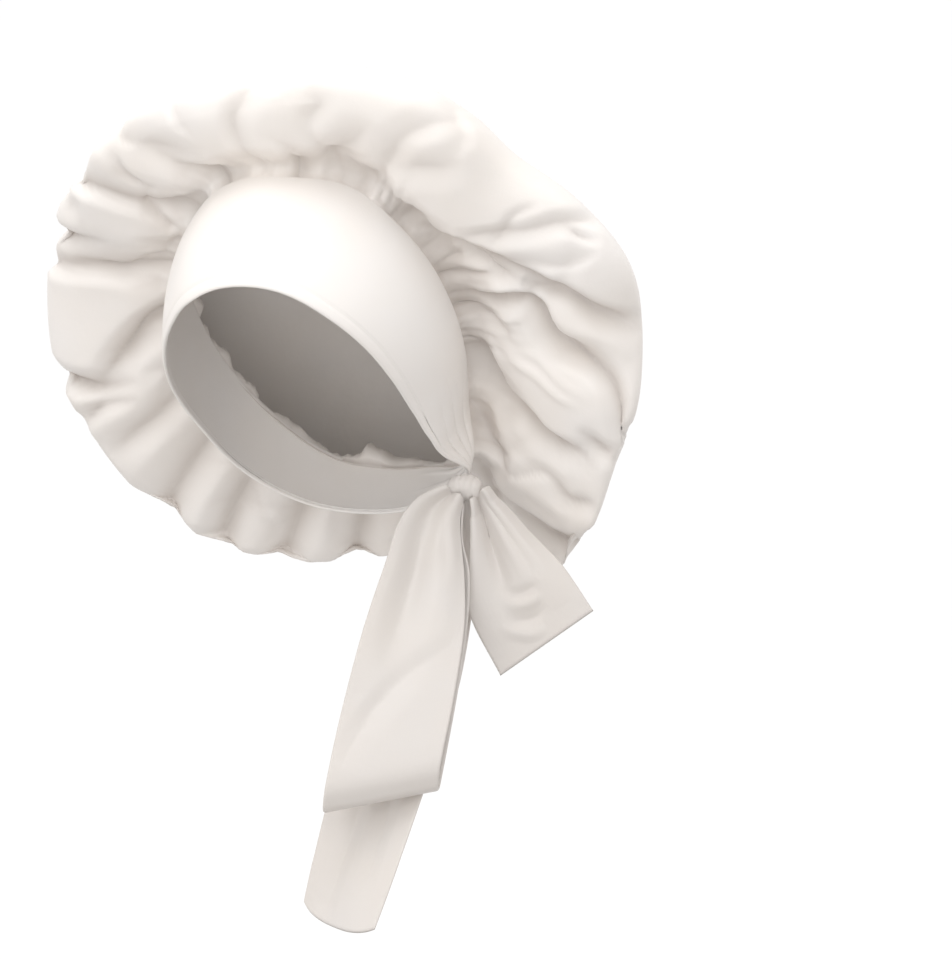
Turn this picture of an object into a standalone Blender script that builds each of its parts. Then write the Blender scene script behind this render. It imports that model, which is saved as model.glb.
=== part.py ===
"""Satin tie bonnet in its worn form: a gathered crown, a wide headband, a knot, a loop and two tails.

The wearer faces -Y, the wearer's left is +X, and +Z is up. The origin is the middle of the head
opening. The opening is a ring about a tilted axis that points back and up. A place on the ring is
an angle round that axis: 0 is the top front, 90 the wearer's left and 180 the nape.
"""

import math

import bmesh
import bpy
import numpy as np

# Head opening and headband, metres
RING_TILT = math.radians(35.6)
RING_RADIUS = 0.090
BAND_WIDTH = 0.080
BAND_BULGE = 0.008
BAND_WALL = 0.002

# Crown, metres
CROWN_RADIUS = 0.165
CROWN_DEPTH = 0.130
CROWN_PUFF = 0.020
CROWN_SAG = 0.012
FOLD_DEPTH = 0.016
CROWN_WALL = 0.0015

# Knot and straps, metres
KNOT_ANGLE = 139.0
KNOT_WIDTH = 0.026
KNOT_HEIGHT = 0.021
KNOT_DEPTH = 0.016
KNOT_GROOVE = 0.0012
STRAP_WIDTH = 0.060
STRAP_WALL = 0.002
STRAP_TURN = math.radians(30.0)
LOOP_LENGTH = 0.160
LONG_TAIL_LENGTH = 0.238
SHORT_TAIL_LENGTH = 0.092
TAIL_CUT = 0.013
STRAP_RIPPLE = 0.004

# Gap that pieces which meet keep
CLEARANCE = 0.0003

# Mesh steps
COLUMNS_PER_FOLD = 6
ROWS_PER_SECTION = 2
BAND_ROWS = 5
KNOT_RINGS = 10
KNOT_SEGMENTS = 18
STRAP_COLUMNS = 7

# Headband edges. Angle in degrees, radii as shares of RING_RADIUS, heights along the axis as
# shares of BAND_WIDTH, bulge as a share of BAND_BULGE.
BAND_EDGES = (
    # angle, front radius, front height, back radius, back height, bulge
    (-160, 1.18, -0.13, 1.10, 0.32, 0.4),
    (-140, 1.12, -0.18, 1.04, 0.34, 0.5),
    (-117, 0.95, -0.29, 1.00, 0.35, 0.6),
    (-90, 0.83, -0.44, 1.01, 0.36, 0.5),
    (-62, 0.77, -0.56, 1.05, 0.36, 0.5),
    (-39, 0.78, -0.64, 1.06, 0.36, 0.8),
    (-20, 0.84, -0.69, 1.08, 0.33, 1.0),
    (0, 0.90, -0.68, 1.08, 0.29, 1.0),
    (21, 0.91, -0.64, 0.99, 0.44, 1.0),
    (44, 0.86, -0.60, 0.91, 0.41, 1.0),
    (62, 0.82, -0.55, 0.86, 0.39, 1.0),
    (81, 0.79, -0.49, 0.82, 0.38, 1.0),
    (105, 0.80, -0.38, 0.82, 0.38, 0.8),
    (120, 0.88, -0.30, 0.86, 0.37, 0.5),
    (132, 1.01, -0.18, 0.97, 0.29, 0.2),
    (139, 1.17, -0.02, 1.13, 0.15, 0.0),
    (147, 1.20, -0.03, 1.14, 0.18, 0.1),
    (162, 1.19, -0.08, 1.11, 0.29, 0.3),
    (180, 1.20, -0.08, 1.11, 0.33, 0.4),
)

# Crown rim, the widest line of the pouch. Radius as a share of CROWN_RADIUS, height as a share of
# CROWN_DEPTH. Fullness says how far the front of the pouch swells forward; below 0 it falls back.
CROWN_RIM = (
    # angle, radius, height, fullness
    (-142, 1.12, 0.00, 0.6),
    (-126, 1.10, -0.05, 0.8),
    (-109, 1.07, -0.05, 1.0),
    (-98, 1.08, -0.02, 1.0),
    (-77, 1.06, 0.13, 1.0),
    (-55, 1.00, 0.15, 1.0),
    (-40, 0.97, 0.15, 1.0),
    (-27, 0.96, 0.19, 1.0),
    (-6, 0.93, 0.23, 1.0),
    (18, 0.95, 0.31, 1.0),
    (40, 0.92, 0.38, 1.0),
    (57, 0.85, 0.43, 1.0),
    (74, 0.93, 0.46, 1.0),
    (88, 1.00, 0.46, 1.0),
    (100, 1.00, 0.44, 1.0),
    (110, 1.04, 0.28, 0.9),
    (125, 1.04, 0.15, 0.4),
    (136, 1.08, 0.07, -0.1),
    (148, 1.10, 0.04, -0.2),
    (163, 1.04, 0.11, 0.1),
    (180, 0.98, 0.15, 0.3),
)

# Valleys between the crown's gathered folds. Angles in degrees at the seam and at the rim, depth
# as a share of FOLD_DEPTH.
CROWN_VALLEYS = (
    # at the seam, at the rim, depth
    (-168, -166, 0.7),
    (-145, -147, 0.8),
    (-123, -128, 0.7),
    (-104, -111, 0.8),
    (-88, -101, 1.0),
    (-68, -80, 0.9),
    (-47, -60, 0.9),
    (-28, -38, 0.6),
    (-10, -14, 0.8),
    (8, 11, 0.5),
    (23, 36, 0.9),
    (36, 62, 0.7),
    (52, 92, 1.0),
    (80, 108, 1.0),
    (97, 122, 0.8),
    (112, 134, 0.5),
    (126, 144, 0.6),
    (139, 155, 0.8),
    (153, 168, 0.7),
    (171, 180, 0.6),
)

# Crown section from the seam over the rim to the middle of the back. Seam, rim and back are the
# shares of those three places; out, rise and swell are shares of CROWN_PUFF, with swell the share
# that follows the fullness; fold is the share of the valleys' depth.
CROWN_SECTION = (
    # place, seam, rim, back, out, rise, swell, fold
    (0.00, 1.00, 0.00, 0.00, 0.00, 0.00, 0.00, 0.00),
    (0.05, 0.94, 0.06, 0.00, 0.00, 0.25, 0.00, 0.15),
    (0.20, 0.60, 0.40, 0.00, 0.00, 0.00, 0.70, 0.70),
    (0.34, 0.20, 0.80, 0.00, 0.05, 0.00, 0.60, 0.90),
    (0.45, 0.00, 1.00, 0.00, 0.00, 0.10, 0.00, 0.60),
    (0.60, 0.00, 0.78, 0.22, 0.75, 0.85, 0.00, 0.42),
    (0.80, 0.00, 0.38, 0.62, 0.80, 1.00, 0.00, 0.10),
    (1.00, 0.00, 0.00, 1.00, 0.00, 0.00, 0.00, 0.00),
)
RIM_PLACE = 0.45
VALLEY_SHARPNESS = 2.5

# Straps. Side runs to the wearer's back left, front runs away from the chest; both and drop are
# shares of the strap's length. Width is a share of STRAP_WIDTH. Lean lifts the strap's outer edge
# and turn swings it forward, in degrees.
LOOP_ROUTE = (
    # side, front, drop, width, lean, turn
    (0.000, 0.000, 0.000, 0.20, -32, 0),
    (-0.055, 0.042, 0.055, 0.45, -28, 0),
    (-0.082, 0.082, 0.130, 0.63, -22, 0),
    (-0.100, 0.138, 0.240, 0.73, -9, 0),
    (-0.140, 0.225, 0.440, 0.92, 4, 0),
    (-0.190, 0.312, 0.675, 1.02, 9, 0),
    (-0.232, 0.374, 0.875, 1.04, 11, 0),
    (-0.244, 0.360, 0.960, 1.04, 11, 0),
    (-0.242, 0.320, 0.985, 1.04, 11, 0),
    (-0.232, 0.282, 0.940, 1.04, 10, 0),
    (-0.180, 0.215, 0.675, 1.02, 8, 0),
    (-0.125, 0.142, 0.440, 0.90, 4, 0),
    (-0.080, 0.068, 0.240, 0.70, -8, 0),
    (-0.050, 0.016, 0.110, 0.45, -26, 0),
    (0.000, -0.026, 0.018, 0.20, -40, 0),
)
LONG_TAIL_ROUTE = (
    # side, front, drop, width, lean, turn
    (0.000, 0.000, 0.000, 0.20, -8, 0),
    (-0.022, -0.026, 0.060, 0.42, -6, 0),
    (-0.066, -0.010, 0.190, 0.74, -4, 5),
    (-0.125, 0.070, 0.420, 0.95, 3, 15),
    (-0.185, 0.152, 0.620, 1.00, 8, 30),
    (-0.240, 0.215, 0.800, 1.00, 8, 42),
    (-0.285, 0.255, 0.945, 0.98, 4, 54),
)
SHORT_TAIL_ROUTE = (
    # side, front, drop, width, lean, turn
    (0.000, 0.000, 0.000, 0.20, 40, 0),
    (0.045, 0.028, 0.090, 0.42, 37, 0),
    (0.110, 0.070, 0.300, 0.72, 31, 0),
    (0.205, 0.120, 0.520, 0.98, 29, 0),
    (0.400, 0.155, 0.840, 1.02, 35, 0),
)

# Which way each strap leaves the knot: side, front and up
LOOP_LEAVES = (-0.62, 0.40, -0.68)
LONG_TAIL_LEAVES = (-0.10, -0.50, -0.86)
SHORT_TAIL_LEAVES = (0.78, -0.02, -0.62)

# Which way the knot hangs from the band's front edge: side, front and up
KNOT_HANGS = (-0.20, 0.45, -0.87)

AXIS = np.array((0.0, math.cos(RING_TILT), math.sin(RING_TILT)))
RING_TOP = np.array((0.0, -math.sin(RING_TILT), math.cos(RING_TILT)))
RING_SIDE = np.array((1.0, 0.0, 0.0))
TIE_DIRECTIONS = np.array((
    (math.cos(STRAP_TURN), math.sin(STRAP_TURN), 0.0),
    (math.sin(STRAP_TURN), -math.cos(STRAP_TURN), 0.0),
    (0.0, 0.0, 1.0),
))


def unit(vectors):
    """Each vector divided by its length."""
    return vectors / np.linalg.norm(vectors, axis=-1, keepdims=True)


def curve_through(places, values, at, period=None):
    """Smooth curve through the rows of values: a cubic between neighbours, with their slopes."""
    places = np.asarray(places, float)
    values = np.asarray(values, float)
    at = np.asarray(at, float)
    if period:
        places = np.concatenate((places[-2:] - period, places, places[:2] + period))
        values = np.concatenate((values[-2:], values, values[:2]))
        at = (at - places[1]) % period + places[1]
    slopes = np.gradient(values, places, axis=0)
    cell = np.clip(np.searchsorted(places, at, side="right") - 1, 0, len(places) - 2)
    step = (places[cell + 1] - places[cell])[..., None]
    t = (at - places[cell])[..., None] / step
    start = (1 + 2 * t) * (1 - t) ** 2 * values[cell] + t * (1 - t) ** 2 * step * slopes[cell]
    end = t**2 * (3 - 2 * t) * values[cell + 1] - t**2 * (1 - t) * step * slopes[cell + 1]
    return start + end


def on_ring(radius, angle, height):
    """Point at a radius and an angle in degrees round the tilted axis, and a height along it."""
    turn = np.radians(angle)[..., None]
    spoke = np.sin(turn) * RING_SIDE + np.cos(turn) * RING_TOP
    return np.asarray(radius)[..., None] * spoke + np.asarray(height)[..., None] * AXIS


def surface_normals(points, wraps):
    """Unit normals of a grid of points, from the slopes along its rows and its columns."""
    down = np.gradient(points, axis=0)
    if wraps:
        across = np.roll(points, -1, axis=1) - np.roll(points, 1, axis=1)
    else:
        across = np.gradient(points, axis=1)
    return unit(np.cross(across, down))


def closed_mesh(name, front, back, wraps, pole=False):
    """Closed wall between two grids of points. With a pole, the last row is a single point."""
    rows, columns = front.shape[:2]
    if pole:
        rows -= 1
    row, column = np.meshgrid(np.arange(rows - 1), np.arange(columns if wraps else columns - 1))
    corner = row * columns + column
    beside = row * columns + (column + 1) % columns
    faces = np.stack((corner, beside, beside + columns, corner + columns), -1).reshape(-1, 4).tolist()
    used = rows * columns
    sheets = [front[:rows].reshape(-1, 3), back[:rows].reshape(-1, 3)]
    if pole:
        sheets = [np.vstack((sheets[0], front[-1, :1])), np.vstack((sheets[1], back[-1, :1]))]
        last = (rows - 1) * columns
        faces += [[last + i, last + (i + 1) % columns, used] for i in range(columns)]
        used += 1
    edges = {(face[i - 1], face[i]) for face in faces for i in range(len(face))}
    rim = [edge for edge in edges if edge[::-1] not in edges]
    walls = [[end, start, start + used, end + used] for start, end in sorted(rim)]
    inside = [[corner + used for corner in reversed(face)] for face in faces]
    mesh = bpy.data.meshes.new(name)
    mesh.from_pydata(np.vstack(sheets).tolist(), [], faces + inside + walls)
    shape = bmesh.new()
    shape.from_mesh(mesh)
    bmesh.ops.recalc_face_normals(shape, faces=shape.faces)
    shape.to_mesh(mesh)
    shape.free()
    mesh.validate()
    return mesh


def fold_columns():
    """Angles of the crown's columns at the seam and at the rim, and how deep each column lies.

    Each fold has the same number of columns, spread evenly from its valley to the next valley.
    The depth is the valley's at either end and falls to nothing on the ridge between them.
    """
    seam, rim, depth = np.array(CROWN_VALLEYS, float).T
    share = np.arange(COLUMNS_PER_FOLD) / COLUMNS_PER_FOLD

    def spread(valleys, turn):
        following = np.append(valleys[1:], valleys[0] + turn)
        return valleys[:, None] * (1 - share) + following[:, None] * share

    depths = spread(depth, 0) * abs(2 * share - 1) ** VALLEY_SHARPNESS
    return spread(seam, 360).ravel(), spread(rim, 360).ravel(), depths.ravel()


def band_edges(angles):
    """Radius and height of the band's front and back edges, and its bulge, at angles in degrees."""
    table = np.array(BAND_EDGES, float)
    shares = curve_through(table[:, 0], table[:, 1:], angles, period=360)
    sizes = (RING_RADIUS, BAND_WIDTH, RING_RADIUS, BAND_WIDTH, BAND_BULGE)
    return (shares * sizes).T


def band_middle(angles, across):
    """Middle surface of the band: straight from front edge to back edge, with a round bulge."""
    front_radius, front_height, back_radius, back_height, bulge = band_edges(angles)
    across = across[:, None]
    radius = front_radius * (1 - across) + back_radius * across + bulge * 4 * across * (1 - across)
    height = front_height * (1 - across) + back_height * across
    return on_ring(radius, np.broadcast_to(angles, radius.shape), height)


def headband():
    """The band as a wall whose back edge is square to the axis, where the crown starts."""
    angles = fold_columns()[0]
    middle = band_middle(angles, np.linspace(0, 1, BAND_ROWS))
    normals = surface_normals(middle, wraps=True)
    normals[-1] = on_ring(np.ones_like(angles), angles, np.zeros_like(angles))
    offset = normals * BAND_WALL / 2
    return closed_mesh("headband", middle + offset, middle - offset, wraps=True)


def crown():
    """The pouch: each column runs from the seam over the rim to the middle of the back."""
    seam_angles, rim_angles, depths = fold_columns()
    _, _, seam_radius, seam_height, _ = band_edges(seam_angles)
    spokes = on_ring(np.ones_like(seam_angles), seam_angles, np.zeros_like(seam_angles))
    seam_line = on_ring(seam_radius, seam_angles, seam_height)
    seam_run = np.roll(seam_line, -1, axis=0) - np.roll(seam_line, 1, axis=0)
    seam_gap = unit(np.cross(spokes, seam_run)) * CLEARANCE
    table = np.array(CROWN_RIM, float)
    rim = curve_through(table[:, 0], table[:, 1:], rim_angles, period=360)
    rim_radius, rim_height, fullness = (rim * (CROWN_RADIUS, CROWN_DEPTH, 1.0)).T

    table = np.array(CROWN_SECTION, float)
    steps = np.arange(0, len(table) - 1 + 0.5 / ROWS_PER_SECTION, 1 / ROWS_PER_SECTION)
    place = np.interp(steps, np.arange(len(table)), table[:, 0])
    shares = curve_through(table[:, 0], table[:, 1:], place)
    seam, rim, back, out, rise, swell, fold = shares.T[..., None]

    blend = np.clip(place / RIM_PLACE, 0, 1)[:, None]
    blend = blend * blend * (3 - 2 * blend)
    angles = seam_angles * (1 - blend) + rim_angles * blend
    radius = seam * seam_radius + rim * rim_radius + out * CROWN_PUFF
    height = seam * seam_height + rim * rim_height + back * CROWN_DEPTH
    height = height + (rise - swell * fullness) * CROWN_PUFF
    middle = on_ring(radius, angles, height) - back[..., None] * CROWN_SAG * RING_TOP
    middle = middle + seam[..., None] * seam_gap

    def outward(points):
        normals = surface_normals(points[:-1], wraps=True)
        return np.concatenate((normals, np.broadcast_to(AXIS, normals[:1].shape)))

    middle = middle - outward(middle) * (fold * depths * FOLD_DEPTH)[..., None]
    normals = outward(middle)
    normals[0] = spokes
    offset = normals * CROWN_WALL / 2
    return closed_mesh("crown", middle + offset, middle - offset, wraps=True, pole=True)


def knot_reach(direction):
    """How far the knot reaches from its middle in a direction given as side, front and up."""
    half = np.array((KNOT_WIDTH, KNOT_DEPTH, KNOT_HEIGHT)) / 2
    return 1 / np.linalg.norm(direction / half)


def knot_centre():
    """Middle of the knot, which hangs just clear of the narrow place in the band's front edge."""
    edge = band_middle(np.array((KNOT_ANGLE,)), np.zeros(1))[0, 0]
    hangs = unit(np.array(KNOT_HANGS))
    return edge + hangs @ TIE_DIRECTIONS * (CLEARANCE + knot_reach(hangs))


def tie_knot():
    """Round pillow of cloth with two grooves where the strap wraps over it."""
    half = np.array((KNOT_WIDTH, KNOT_DEPTH, KNOT_HEIGHT)) / 2
    shape = bmesh.new()
    bmesh.ops.create_uvsphere(shape, u_segments=KNOT_SEGMENTS, v_segments=KNOT_RINGS, radius=1.0)
    for vert in shape.verts:
        up, front, side = vert.co
        groove = KNOT_GROOVE * math.exp(-(((abs(side) - 0.5) / 0.2) ** 2))
        pinch = 1 - groove / half[2]
        vert.co = (np.array((side, front * pinch, up * pinch)) * half) @ TIE_DIRECTIONS
    mesh = bpy.data.meshes.new("tie_knot")
    shape.to_mesh(mesh)
    shape.free()
    return mesh


def strap(name, route, length, leaves, cut):
    """Flat strap along its route, gathered where it leaves the knot, its end cut on the slant.

    The mesh is measured from the middle of the knot. The cut is how much longer the outer edge is.
    """
    leave = unit(np.array(leaves))
    start = leave * (knot_reach(leave) + CLEARANCE) @ TIE_DIRECTIONS
    table = np.array(route, float)
    steps = np.arange(0, len(table) - 0.75, 0.5)
    side, front, drop, width, lean, turn = curve_through(np.arange(len(table)), table, steps).T
    centre = start + length * np.stack((side, front, -drop), -1) @ TIE_DIRECTIONS
    lean = np.radians(lean)
    turn = np.radians(turn)
    swung = np.stack((np.cos(lean) * np.cos(turn), np.cos(lean) * np.sin(turn), np.sin(lean)), -1)
    share = np.linspace(-0.5, 0.5, STRAP_COLUMNS)[:, None]
    across = (width[:, None] * STRAP_WIDTH * swung @ TIE_DIRECTIONS)[:, None] * share
    along = unit(np.gradient(centre, axis=0))[:, None]
    late = np.clip(steps / steps[-1] * 2 - 1, 0, 1)[:, None, None] ** 2
    middle = centre[:, None] + across + along * share * late * cut

    gather = (1 - width) * np.clip(steps / 2, 0, 1)
    ripple = STRAP_RIPPLE * gather[:, None] * np.cos(3 * math.pi * share[:, 0])
    middle = middle + surface_normals(middle, wraps=False) * ripple[..., None]
    offset = surface_normals(middle, wraps=False) * STRAP_WALL / 2
    return closed_mesh(name, middle + offset, middle - offset, wraps=False)


def satin(name, colour, roughness):
    """Woven satin: a pale cloth with a soft sheen."""
    material = bpy.data.materials.new(name)
    material.use_nodes = True
    shader = material.node_tree.nodes["Principled BSDF"]
    shader.inputs["Base Color"].default_value = (*colour, 1.0)
    shader.inputs["Roughness"].default_value = roughness
    shader.inputs["Metallic"].default_value = 0.0
    shader.inputs["Sheen Weight"].default_value = 0.3
    return material


def add_piece(mesh, material, parent, place):
    """Object for a mesh, at a place under its parent, in its own material."""
    mesh.materials.append(material)
    mesh.shade_smooth()
    mesh.set_sharp_from_angle(angle=math.radians(50))
    piece = bpy.data.objects.new(mesh.name, mesh)
    piece.parent = parent
    piece.location = place
    bpy.context.scene.collection.objects.link(piece)
    return piece


def build():
    for item in list(bpy.data.objects):
        bpy.data.objects.remove(item, do_unlink=True)
    bonnet = bpy.data.objects.new("bonnet", None)
    bpy.context.scene.collection.objects.link(bonnet)
    ties = bpy.data.objects.new("ties", None)
    bpy.context.scene.collection.objects.link(ties)
    ties.parent = bonnet
    ties.location = knot_centre()

    add_piece(headband(), satin("band_satin", (0.92, 0.90, 0.88), 0.50), bonnet, (0, 0, 0))
    add_piece(crown(), satin("crown_satin", (0.93, 0.91, 0.90), 0.32), bonnet, (0, 0, 0))
    add_piece(tie_knot(), satin("knot_satin", (0.92, 0.90, 0.89), 0.35), ties, (0, 0, 0))
    loop = strap("bow_loop", LOOP_ROUTE, LOOP_LENGTH, LOOP_LEAVES, 0.0)
    long_tail = strap("long_tail", LONG_TAIL_ROUTE, LONG_TAIL_LENGTH, LONG_TAIL_LEAVES, TAIL_CUT)
    short_tail = strap("short_tail", SHORT_TAIL_ROUTE, SHORT_TAIL_LENGTH, SHORT_TAIL_LEAVES, 0.0)
    add_piece(loop, satin("loop_satin", (0.92, 0.90, 0.89), 0.34), ties, (0, 0, 0))
    add_piece(long_tail, satin("long_tail_satin", (0.92, 0.90, 0.89), 0.34), ties, (0, 0, 0))
    add_piece(short_tail, satin("short_tail_satin", (0.92, 0.90, 0.89), 0.34), ties, (0, 0, 0))


build()
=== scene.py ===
# %% [markdown]
# # A satin tie bonnet
# The bonnet is a full gathered pouch on a wide smooth headband, tied below one ear. The packed
# CAD model gives every piece its place and size. This lesson dresses it: each soft solid is
# replaced by a cloth surface that is worked out with numpy and finished with woven satin.

# %% Load the frame
import math

import bpy
import numpy as np
from mathutils import Matrix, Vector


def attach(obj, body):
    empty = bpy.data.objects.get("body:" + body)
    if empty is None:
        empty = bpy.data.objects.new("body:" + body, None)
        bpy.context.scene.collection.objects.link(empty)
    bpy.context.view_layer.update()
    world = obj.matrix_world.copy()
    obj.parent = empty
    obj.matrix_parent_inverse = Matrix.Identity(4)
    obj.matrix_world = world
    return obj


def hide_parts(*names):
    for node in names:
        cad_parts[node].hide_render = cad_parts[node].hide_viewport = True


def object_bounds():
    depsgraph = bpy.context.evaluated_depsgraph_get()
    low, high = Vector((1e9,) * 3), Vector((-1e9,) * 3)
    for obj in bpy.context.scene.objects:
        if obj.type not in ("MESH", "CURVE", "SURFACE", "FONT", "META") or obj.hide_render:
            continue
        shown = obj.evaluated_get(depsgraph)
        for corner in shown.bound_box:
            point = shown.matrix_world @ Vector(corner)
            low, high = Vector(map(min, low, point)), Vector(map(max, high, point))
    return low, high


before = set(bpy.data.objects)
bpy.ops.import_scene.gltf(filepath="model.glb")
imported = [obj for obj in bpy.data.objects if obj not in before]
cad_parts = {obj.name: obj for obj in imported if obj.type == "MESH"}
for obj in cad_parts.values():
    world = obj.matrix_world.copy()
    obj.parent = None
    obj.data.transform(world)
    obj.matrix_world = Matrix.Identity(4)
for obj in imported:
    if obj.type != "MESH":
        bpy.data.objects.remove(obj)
cad_box = [list(corner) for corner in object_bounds()]
print("CAD box", [[round(value, 4) for value in corner] for corner in cad_box])

# %% [markdown]
# ## The ring frame
# The head opening is a ring about a tilted axis that points back and up. Places on the bonnet are
# easiest to give as a radius, an angle round that axis and a height along it: 0 degrees is the top
# front, 90 the wearer's left and 180 the nape. The ties are measured in side, front and up, with
# the side direction turned 30 degrees, as the camera is, so they are laid out as it sees them.

# %% Directions and small helpers
RING_TILT = math.radians(35.6)
RING_RADIUS = 0.090
AXIS = np.array((0.0, math.cos(RING_TILT), math.sin(RING_TILT)))
RING_TOP = np.array((0.0, -math.sin(RING_TILT), math.cos(RING_TILT)))
RING_SIDE = np.array((1.0, 0.0, 0.0))
STRAP_TURN = math.radians(30.0)
TIE_DIRECTIONS = np.array((
    (math.cos(STRAP_TURN), math.sin(STRAP_TURN), 0.0),
    (math.sin(STRAP_TURN), -math.cos(STRAP_TURN), 0.0),
    (0.0, 0.0, 1.0),
))


def unit(vectors):
    """Each vector divided by its own length."""
    return vectors / np.linalg.norm(vectors, axis=-1, keepdims=True)


def smooth(start, end, values):
    """0 before start, 1 after end, and 3x2 - 2x3 between them, where x is the share of the way."""
    share = np.clip((values - start) / (end - start), 0, 1)
    return share * share * (3 - 2 * share)


def curve_through(places, values, at, period=None):
    """Smooth curve through rows of values: between two places a cubic that keeps their slopes."""
    places, values, at = (np.asarray(item, float) for item in (places, values, at))
    if period:
        places = np.concatenate((places[-2:] - period, places, places[:2] + period))
        values = np.concatenate((values[-2:], values, values[:2]))
        at = (at - places[1]) % period + places[1]
    slopes = np.gradient(values, places, axis=0)
    cell = np.clip(np.searchsorted(places, at, side="right") - 1, 0, len(places) - 2)
    step = (places[cell + 1] - places[cell])[..., None]
    t = (at - places[cell])[..., None] / step
    start = (1 + 2 * t) * (1 - t) ** 2 * values[cell] + t * (1 - t) ** 2 * step * slopes[cell]
    end = t**2 * (3 - 2 * t) * values[cell + 1] - t**2 * (1 - t) * step * slopes[cell + 1]
    return start + end


def on_ring(radius, angle, height):
    """Point = radius times the spoke at that angle, plus height along the axis."""
    turn = np.radians(angle)[..., None]
    spoke = np.sin(turn) * RING_SIDE + np.cos(turn) * RING_TOP
    return np.asarray(radius)[..., None] * spoke + np.asarray(height)[..., None] * AXIS


def surface_normals(points, wraps):
    """Unit cross product of the slopes along a grid's columns and along its rows."""
    down = np.gradient(points, axis=0)
    if wraps:
        across = np.roll(points, -1, axis=1) - np.roll(points, 1, axis=1)
    else:
        across = np.gradient(points, axis=1)
    return unit(np.cross(across, down))


# %% [markdown]
# ## Camera
# The camera stands in front and 30 degrees round to the wearer's left, three degrees above the
# bonnet's middle, with a long lens, so the near and far sides keep nearly the same scale. It is
# placed by its three directions: to the right, up, and back from the object.

# %% Place the camera
CAMERA_AZIMUTH = math.radians(30.0)
CAMERA_ELEVATION = math.radians(3.0)
CAMERA_DISTANCE = 2.5
CAMERA_SIDE_STEP = 0.0346
CAMERA_DOWN_STEP = 0.0281
LENS_PIXELS = 4625.0
LONG_SIDE_PIXELS = 960.0

camera_right = np.array((math.cos(CAMERA_AZIMUTH), math.sin(CAMERA_AZIMUTH), 0.0))
camera_back = np.array((
    math.sin(CAMERA_AZIMUTH) * math.cos(CAMERA_ELEVATION),
    -math.cos(CAMERA_AZIMUTH) * math.cos(CAMERA_ELEVATION),
    math.sin(CAMERA_ELEVATION),
))
camera_up = np.cross(camera_back, camera_right)
camera_data = bpy.data.cameras.new("camera")
camera_data.sensor_width = 36.0
camera_data.lens = 36.0 * LENS_PIXELS / LONG_SIDE_PIXELS
camera = bpy.data.objects.new("camera", camera_data)
bpy.context.scene.collection.objects.link(camera)
place = CAMERA_DISTANCE * (
    camera_back + CAMERA_SIDE_STEP * camera_right - CAMERA_DOWN_STEP * camera_up
)
turn = np.eye(4)
turn[:3, 0], turn[:3, 1], turn[:3, 2], turn[:3, 3] = camera_right, camera_up, camera_back, place
camera.matrix_world = Matrix(turn.tolist())
bpy.context.scene.camera = camera
print("camera at", place.round(3), "lens", round(camera_data.lens, 1), "mm")

# %% [markdown]
# ## Satin
# Satin floats its threads over several others, so the face is smooth and catches light softly,
# while the back is duller. One material function makes all three finishes. The weave is two
# crossing sets of fine waves in the piece's own flat-cut coordinates, in metres, so it follows
# the cloth. A larger noise gives the slight unevenness of thin cloth, and the colour drifts a
# little between a cool and a warm white. Where a cloth's attribute for painted shade rises, the
# colour sinks to a warm painted shade, which stands in for the shadow inside creases and along
# the seam. The ties' satin is given a darker colour, a painted shade for the shade they hang in.

# %% Satin material
WEAVE_PITCH = 0.0004
THREAD_DEPTH = 0.00005
PUCKER_SIZE = 0.011
PUCKER_DEPTH = 0.002
DRIFT_SCALE = 14.0
WARM_DRIFT = (1.0, 0.985, 0.965)
# colour factors of the warm painted shade inside creases and along the seam
PAINTED_CREASE_SHADE = (0.74, 0.71, 0.685)


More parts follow.
